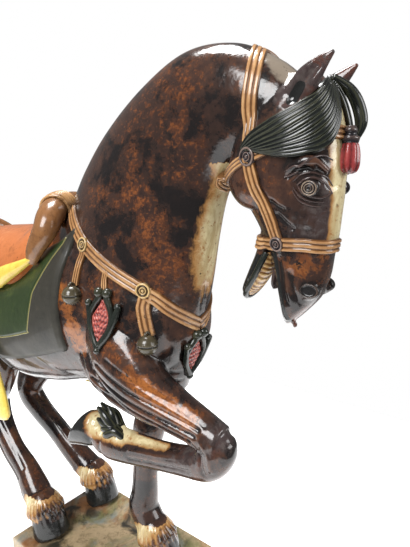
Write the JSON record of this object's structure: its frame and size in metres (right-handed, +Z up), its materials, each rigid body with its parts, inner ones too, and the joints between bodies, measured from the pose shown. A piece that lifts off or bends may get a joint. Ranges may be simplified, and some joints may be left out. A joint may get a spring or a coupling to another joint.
{
  "type": "glazed terracotta horse statue",
  "caption": "Glazed terracotta saddle horse, arched neck and a raised foreleg, with bridle, breast harness, saddle and cloth, on a low slab base.",
  "frame": {"origin": "centre of the slab's underside", "axes": "+X the way the horse faces, +Y its left side, +Z up"},
  "size_m": [0.5252, 0.136, 0.4967],
  "materials": {
    "brown_glaze": "gloss",
    "mottled_base_glaze": "semi-gloss"
  },
  "bodies": {
    "root": {"horse": "brown_glaze", "base": "mottled_base_glaze"}
  },
  "joints": []
}
